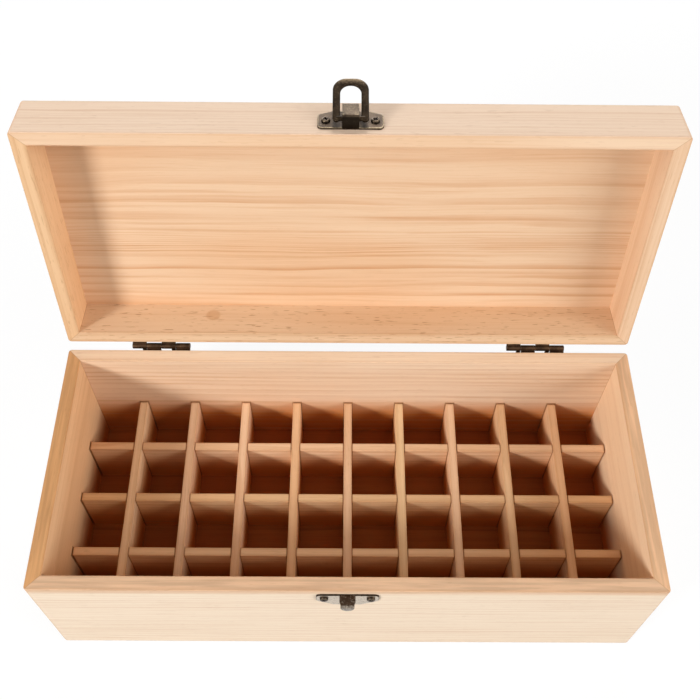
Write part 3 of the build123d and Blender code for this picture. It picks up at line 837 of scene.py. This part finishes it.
def bow():
    """The bow: a bar whose section reaches from its inner edge to its outer edge, drawn to a round end at
    the top of each leg."""
    outer = bow_side(loop_half_width, loop_foot, loop_corner)
    inner = bow_side(gap_half_width, gap_foot, gap_corner)
    middle, reach = (outer + inner) / 2, (outer - inner) / 2
    half = np.linalg.norm(reach, axis=1)
    from_end = np.clip((loop_top - middle[:, 1]) / leg_round, 0, 1)
    drawn = half * np.sqrt(1 - (1 - from_end) ** 2)
    across, through, rubbed = bar_section(drawn, loop_thick, loop_ease)
    flat = middle[:, None] + (reach / half[:, None])[:, None] * across[..., None]
    places = np.stack((flat[..., 0], journal_at.y + through, flat[..., 1]), -1)
    handled = np.clip((loop_foot + loop_corner - flat[..., 1]) / loop_corner, 0, 1)
    return places, np.maximum(rubbed * bow_edge_wear, handled * bend_wear)


def flipped_back(places):
    """Places of the loop as it hangs shut, swung back over the lid and opened with it."""
    return opened(swung(places, journal_at, loop_swing))


loop_bronze = antique_bronze(
    "loop_bronze", dark=tint(36, 28, 20), brown=tint(48, 38, 28), bright=tint(112, 96, 76), rough=0.38,
)
rings, rubbed = bow()
shells = [(flipped_back(rings), rubbed)]
rings, rubbed = turned_rod((-journal_reach, journal_reach), journal_radius, pin_ease)
shells.append((flipped_back(rings + np.array(journal_at)), rubbed * journal_wear))
fitting("hasp_loop_cast", shells, loop_bronze, "loop", "hasp_loop")

# Hook plate: a 1 mm stamped plate screwed to the base's front. The hook is bent out of its upper edge and
# down, drawn in to a rounded lip. The plate's face is worn bright, the lip is painted bright as a painted
# reflection, the hook's top keeps its dark patina, and the plate's edges are painted near black as painted
# shade.
hook_box = laid_box("hook_plate", as_it_lies)
hook_foot = float(hook_box[0][2])
hook_head = float(hook_box[1][2])
hook_shoulder = 78.8
hook_foot_half = 7.5
hook_corners = (
    (-plate_half_width, hook_shoulder), (-hook_foot_half, hook_foot), (hook_foot_half, hook_foot),
    (plate_half_width, hook_shoulder), (plate_half_width, hook_head), (-plate_half_width, hook_head),
)
hook_half_width = 4.25
hook_tip_half_width = 3.7
hook_out = 6.5
hook_low = 80.3
hook_bend = 1.9
hook_taper = (4.2, 5.8)
lip_rise = 4.4
lip_tip = 0.01
lip_start = 0.9
lip_fade = 0.6
hook_edge_wear = 0.3
lip_highlight = 0.54
face_skin = 0.05
face_wear = 0.85
edge_painted_shade = -0.6


def hook():
    """The hook: straight out from the middle of the plate, bent down to its lip. Its half width is drawn in
    along a smooth step before the bend, and along half an ellipse at the lip. From the bend on, it is
    painted bright, as a painted reflection."""
    inside = plate_thick / 2
    high = hook_head - plate_thick / 2
    corners = ((inside, high), (hook_out, high), (hook_out, hook_low + lip_tip))
    path = bent_path(corners, hook_bend, strap_steps)
    share = np.clip((path[:, 0] - hook_taper[0]) / (hook_taper[1] - hook_taper[0]), 0, 1)
    half = hook_half_width + (hook_tip_half_width - hook_half_width) * share**2 * (3 - 2 * share)
    from_tip = np.clip((path[:, 1] - hook_low) / lip_rise, 0, 1)
    half = half * np.sqrt(1 - (1 - from_tip) ** 2)
    rings, rubbed = bent_strip(path, half, plate_thick, strap_ease)
    # Painted reflection: from the bend on, the hook is painted bright.
    lip = np.clip((rings[..., 1] - hook_out + lip_start) / lip_fade, 0, 1)
    return on_front(rings[..., [0, 2, 1]]), np.maximum(rubbed * hook_edge_wear, lip * lip_highlight)


hook_bronze = antique_bronze(
    "hook_bronze", dark=tint(48, 36, 27), brown=tint(60, 45, 34), bright=tint(200, 186, 168), rough=0.38,
)
rings, rubbed = stamped_plate(hook_corners, plate_corner, plate_thick, plate_ease)
# Painted shade: all but the plate's front face, its edges and back, is painted near black.
face_wear_and_edge_shade = np.where(rings[..., 2] > plate_thick - face_skin, face_wear, edge_painted_shade)
shells = [(on_front(rings), face_wear_and_edge_shade), hook()]
fitting("hook_plate_stamped", shells, hook_bronze, "base", "hook_plate")

# Screws: small cross-head wood screws with the same plating, two in each plate and each hinge leaf. Only
# their pan heads show. Their shoulders are rubbed, and the cross pressed into each head is painted dark,
# as painted shade in the recess.
head_radius = 2.3
head_height = 1.3
head_round = 0.8
cross_half_length = 1.3
cross_half_width = 0.32
cross_depth = 0.7
cross_softness = 0.12
middle_ring = 0.04
shoulder_reach = 0.6
shoulder_wear = 0.6
top_wear = 0.15
cross_painted_shade = 0.7
hasp_screw_z = 101.7
hook_screw_z = 82.6
plate_screw_x = 12.45
hinge_screw_x = 10.5
hinge_screw_drop = 6.6


def soft_box(places, half):
    """1 inside a half width, 0 outside it, with a straight slope over the edge between them."""
    return np.clip((half - np.abs(places)) / cross_softness + 0.5, 0, 1)


def screw_head(turn):
    """A pan head as rings of (across, along, out): a short wall, a quarter round and a flat top, with two
    crossed slots sunk into it. Each slot is the product of a soft box across it and one along it."""
    quarter = np.linspace(0, np.pi / 2, 8)
    flat_top = np.linspace(head_radius - head_round, middle_ring, 30)[1:]
    level_top = np.full(len(flat_top), head_height)
    drawn_in = head_round * (1 - np.cos(quarter))
    wall = head_height - head_round
    radius = np.concatenate(((head_radius,), head_radius - drawn_in, flat_top))
    height = np.concatenate(((0,), wall + head_round * np.sin(quarter), level_top))
    angles = np.linspace(0, 2 * np.pi, 72, endpoint=False)
    across = radius[:, None] * np.cos(angles)
    along = radius[:, None] * np.sin(angles)
    first = across * math.cos(turn) + along * math.sin(turn)
    second = along * math.cos(turn) - across * math.sin(turn)
    first_slot = soft_box(first, cross_half_width) * soft_box(second, cross_half_length)
    second_slot = soft_box(second, cross_half_width) * soft_box(first, cross_half_length)
    sunk = np.maximum(first_slot, second_slot)
    out = height[:, None] - cross_depth * sunk
    from_shoulder = np.abs(radius - head_radius + head_round / 2)
    shoulder = np.clip(1 - from_shoulder / shoulder_reach, 0, 1)[:, None]
    # Painted shade: the cross sunk into the head is painted dark.
    rubbed = (shoulder * shoulder_wear + top_wear) * (1 - sunk) - sunk * cross_painted_shade
    return np.stack((across, along, out), -1), rubbed


def front_screws(z, settle, turns):
    """The two screw heads of a plate on the front, at a height, put in place by settle."""
    shells = []
    for x, turn in zip((-plate_screw_x, plate_screw_x), turns):
        rings, rubbed = screw_head(turn)
        shells.append((settle(on_front(rings + np.array((x, z, plate_thick)))), rubbed))
    return shells


def hinge_screws(z, settle, turns):
    """The four screw heads of one row of hinge leaves on the back, at a height, put in place by settle."""
    shells = []
    xs = [middle + side * hinge_screw_x for middle in hinge_middles.values() for side in (-1, 1)]
    for x, turn in zip(xs, turns):
        rings, rubbed = screw_head(turn)
        rings = np.stack((x + rings[..., 0], box_back + leaf_thick + rings[..., 2], z + rings[..., 1]), -1)
        shells.append((settle(rings), rubbed))
    return shells


screw_bronze = antique_bronze(
    "screw_bronze", dark=tint(44, 35, 28), brown=tint(58, 47, 38), bright=tint(112, 98, 80), rough=0.35,
)
base_row, lid_row = hinge_at.z - hinge_screw_drop, hinge_at.z + hinge_screw_drop
heads = (
    ("hasp_screws", front_screws(hasp_screw_z, opened, turns=(0.3, 0.9)), "lid"),
    ("hook_screws", front_screws(hook_screw_z, as_drawn, turns=(0.2, 0.6)), "base"),
    ("base_hinge_screws", hinge_screws(base_row, as_drawn, turns=(0.1, 0.8, 0.4, 1.2)), "base"),
    ("lid_hinge_screws", hinge_screws(lid_row, opened, turns=(0.7, 0.2, 1.0, 0.5)), "lid"),
)
for node, shells, body in heads:
    fitting(f"{node}_heads", shells, screw_bronze, body, node)

# Studio: a sheet of white paper under the box and a white surround, as for a catalogue picture. The paper
# keeps a trace of the box's shadow. Six round soft lamps stand around: a small key lamp at the front left,
# a wide fill at the right, and weaker ones above, at the left and behind.
floor_reach = 4.0
floor_mesh = bpy.data.meshes.new("floor")
corners = [(x * floor_reach, y * floor_reach, 0) for x, y in ((-1, -1), (1, -1), (1, 1), (-1, 1))]
floor_mesh.from_pydata(corners, [], [(0, 1, 2, 3)])
floor = bpy.data.objects.new("floor", floor_mesh)
bpy.context.scene.collection.objects.link(floor)


def seen_directly(tree):
    """1 for rays from the camera, from a glossy surface or through glass, and 0 for light that fills in."""
    path = add(tree, "LightPath").node.outputs
    seen = maths(tree, "MAXIMUM", path["Is Camera Ray"], path["Is Glossy Ray"])
    return maths(tree, "MAXIMUM", seen, path["Is Transmission Ray"])


paper = bpy.data.materials.new("floor_paper")
paper.use_nodes = True
tree = paper.node_tree
tree.nodes.clear()
white_share = 0.88
fade_near, fade_far = 0.5, 1.6
grey = add(tree, "BsdfDiffuse", ("Color", tint(170, 170, 170)))
shaded = add(tree, "BsdfDiffuse", ("Color", (1, 1, 1, 1)))
glow = add(tree, "Emission", ("Color", (1, 1, 1, 1)), ("Strength", 1.0))
away = vectors(tree, "LENGTH", add(tree, "TexCoord", out=3), out=1)
share = smooth(tree, away, fade_near, fade_far, white_share, 1.0)
white = add(tree, "MixShader", (0, share), (1, shaded), (2, glow))
mixed = add(tree, "MixShader", (0, seen_directly(tree)), (1, grey), (2, white))
add(tree, "OutputMaterial", ("Surface", mixed))
floor_mesh.materials.append(paper)

world = bpy.data.worlds.new("studio")
bpy.context.scene.world = world
world.use_nodes = True
tree = world.node_tree
tree.nodes.clear()
fill_strength = 0.08
dim = add(tree, "Background", ("Color", (1, 0.98, 0.95, 1)), ("Strength", fill_strength))
white = add(tree, "Background", ("Color", (1, 1, 1, 1)), ("Strength", 1.0))
mixed = add(tree, "MixShader", (0, seen_directly(tree)), (1, dim), (2, white))
add(tree, "OutputWorld", ("Surface", mixed))

aim = Vector((0, 0, 0.1))
lamp_distance = 2.4


def soft_lamp(name, towards, width, power):
    """A round soft lamp of that width and power that looks at the box from the given side."""
    data = bpy.data.lights.new(name, "AREA")
    data.shape = "DISK"
    data.size = width
    data.energy = power
    lamp = bpy.data.objects.new(name, data)
    bpy.context.scene.collection.objects.link(lamp)
    side = Vector(towards).normalized()
    lamp.location = aim + side * lamp_distance
    lamp.rotation_euler = side.to_track_quat("Z", "Y").to_euler()


soft_lamp("key", towards=(-1.6, -1.25, 1.0), width=0.6, power=45)
soft_lamp("left_fill", towards=(-1.2, -0.35, 1.0), width=1.6, power=6)
soft_lamp("fill", towards=(1.6, -0.8, 0.72), width=2.0, power=49)
soft_lamp("overhead", towards=(0.1, -0.25, 1.0), width=1.6, power=4.5)
soft_lamp("back_fill", towards=(0.2, 1.5, 1.15), width=1.0, power=24)
soft_lamp("rear", towards=(-0.35, 1.6, 0.1), width=1.4, power=16)

# Camera: a plain camera close in front of the box, turned down by 57 degrees to look into the cells. Its
# place and turn were fitted to the corners, rims and dividers of the box.
eye = Vector((-0.0021607, -0.2425946, 0.5801140))
look_down = 0.9936
pitch = math.radians(90) - look_down
roll = 0.0143
yaw = -0.0097
camera_data = bpy.data.cameras.new("camera")
camera_data.sensor_width = 36.0
camera_data.lens = 49.23
camera_data.clip_start = 0.01
camera = bpy.data.objects.new("camera", camera_data)
aimed = Matrix.Rotation(yaw, 4, "Z") @ Matrix.Rotation(pitch, 4, "X") @ Matrix.Rotation(roll, 4, "Z")
camera.location = eye
camera.rotation_euler = aimed.to_euler()
bpy.context.scene.collection.objects.link(camera)
bpy.context.scene.camera = camera
bpy.context.scene.view_settings.view_transform = "Standard"
